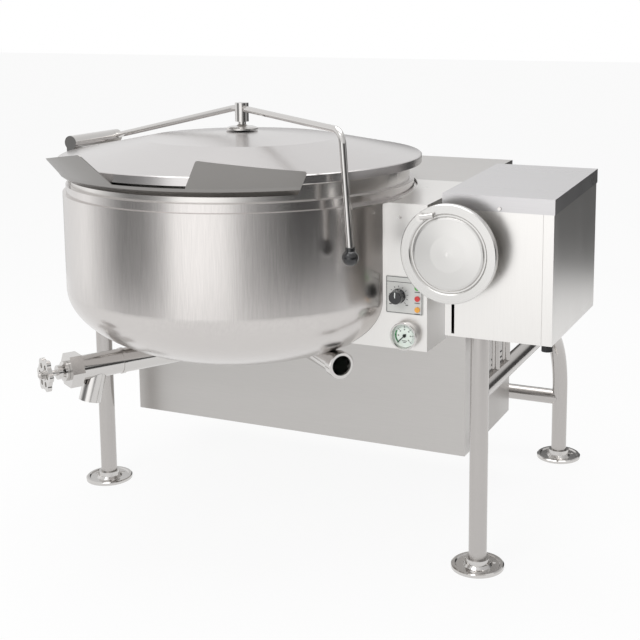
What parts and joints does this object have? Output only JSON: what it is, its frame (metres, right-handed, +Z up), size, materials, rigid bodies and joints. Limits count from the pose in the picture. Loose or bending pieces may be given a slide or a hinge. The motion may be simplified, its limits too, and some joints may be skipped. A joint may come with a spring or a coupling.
{
  "type": "steam_jacketed_kettle",
  "caption": "Floor-standing steam jacketed tilting kettle with hinged lid, worm-drive hand wheel, draw-off valve and control box on an open tube frame",
  "frame": {"origin": "floor point at the centre of the front left foot, straight under the tilt axis", "axes": "+X to the right along the tilt axis, +Y to the rear, +Z up"},
  "size_m": [1.446, 1.3223, 1.111],
  "materials": {
    "steel_brushed": "brushed",
    "steel_jacket": "vertical brushed",
    "steel_lid": "satin",
    "steel_plate": "fine brushed",
    "steel_tube": "polished tube",
    "steel_polished": "polished",
    "steel_wheel": "satin",
    "steel_gear": "machined",
    "iron_bearing": "painted casting",
    "bronze": "machined",
    "knob_black": "gloss",
    "needle_black": "matt",
    "dial_white": "matt",
    "lamp_lens": "gloss",
    "clear_glass": "clear",
    "rubber_black": "matt"
  },
  "bodies": {
    "frame": {"front_leg_left": "steel_tube", "front_leg_right": "steel_tube", "bent_leg_left": "steel_tube", "bent_leg_right": "steel_tube", "rear_cross_tube": "steel_tube", "floor_flanges": "steel_polished", "left_bearing": "iron_bearing", "bearing_pad": "steel_brushed", "bearing_bolts": "steel_brushed", "console_posts": "steel_tube", "console_shell": "steel_brushed", "console_cover": "steel_brushed", "axis_carrier": "steel_brushed", "carrier_spacers": "steel_brushed", "right_bearing": "iron_bearing", "shaft_bearings": "bronze", "shaft_bush": "bronze", "corner_bumper": "rubber_black"},
    "kettle": {"kettle_jacket": "steel_jacket", "inner_bowl": "steel_jacket", "pour_lip": "steel_plate", "left_trunnion": "steel_brushed", "right_trunnion": "steel_brushed", "trunnion_bolts": "steel_brushed", "gear_sector": "steel_gear", "housing_shell": "steel_brushed", "service_bolts": "steel_brushed", "deck_collar": "steel_brushed", "control_box": "steel_brushed", "control_plate": "steel_plate", "pilot_lamps": "lamp_lens", "gauge_case": "steel_polished", "gauge_dial": "dial_white", "gauge_lens": "clear_glass", "hinge_barrel": "steel_polished", "hinge_pin": "steel_polished", "draw_off_body": "steel_brushed", "draw_off_spout": "steel_brushed", "union_nut": "steel_polished", "bonnet": "steel_polished", "sight_tube": "steel_brushed", "sight_ring": "steel_polished", "sight_glass": "clear_glass"},
    "hand_drive": {"worm_shaft": "steel_gear", "hand_wheel": "steel_wheel", "wheel_handle": "steel_polished"},
    "lid_bar": {"lid_arm": "steel_polished", "ball_knob": "knob_black"},
    "lid": {"lid_shell": "steel_lid", "lid_hub": "steel_polished"},
    "draw_off_plunger": {"valve_plunger": "bronze"},
    "draw_off_spindle": {"valve_stem": "steel_polished", "valve_wheel": "steel_polished"},
    "thermostat": {"thermostat_knob": "knob_black"},
    "needle": {"gauge_needle": "needle_black"}
  },
  "joints": [
    {"name": "kettle_tilt", "type": "hinge", "parent": "frame", "child": "kettle", "pos_m": [0, 0, 0.698], "axis": [1, 0, 0], "range_deg": [0, 90]},
    {"name": "hand_wheel_turn", "type": "hinge", "parent": "frame", "child": "hand_drive", "pos_m": [1.161, 0, 0.818], "axis": [0, 1, 0], "range_deg": [0, 4680]},
    {"name": "lid_bar_swing", "type": "hinge", "parent": "kettle", "child": "lid_bar", "pos_m": [0.056, 0, 0.998], "axis": [0, -1, 0], "range_deg": [0, 95]},
    {"name": "lid_swivel", "type": "hinge", "parent": "lid_bar", "child": "lid", "pos_m": [0.526, -0.105, 1.06], "axis": [0, 0, 1], "continuous": true},
    {"name": "draw_off_lift", "type": "slide", "parent": "kettle", "child": "draw_off_plunger", "axis": [-0.5082, -0.8613, 0], "range_m": [0, 0.025]},
    {"name": "draw_off_wheel_turn", "type": "hinge", "parent": "draw_off_plunger", "child": "draw_off_spindle", "pos_m": [0.2702, -0.4451, 0.49], "axis": [0.5082, 0.8613, 0], "range_deg": [0, 900]},
    {"name": "thermostat_turn", "type": "hinge", "parent": "kettle", "child": "thermostat", "pos_m": [0.996, -0.22, 0.683], "axis": [0, 1, 0], "range_deg": [0, 270]},
    {"name": "needle_turn", "type": "hinge", "parent": "kettle", "child": "needle", "pos_m": [1.015, -0.225, 0.592], "axis": [0, 1, 0], "range_deg": [0, 270]}
  ],
  "couplings": [
    {"joint": "hand_wheel_turn", "follows": "kettle_tilt", "ratio": 52},
    {"joint": "draw_off_wheel_turn", "follows": "draw_off_lift", "rad_per_m": 628.3}
  ]
}
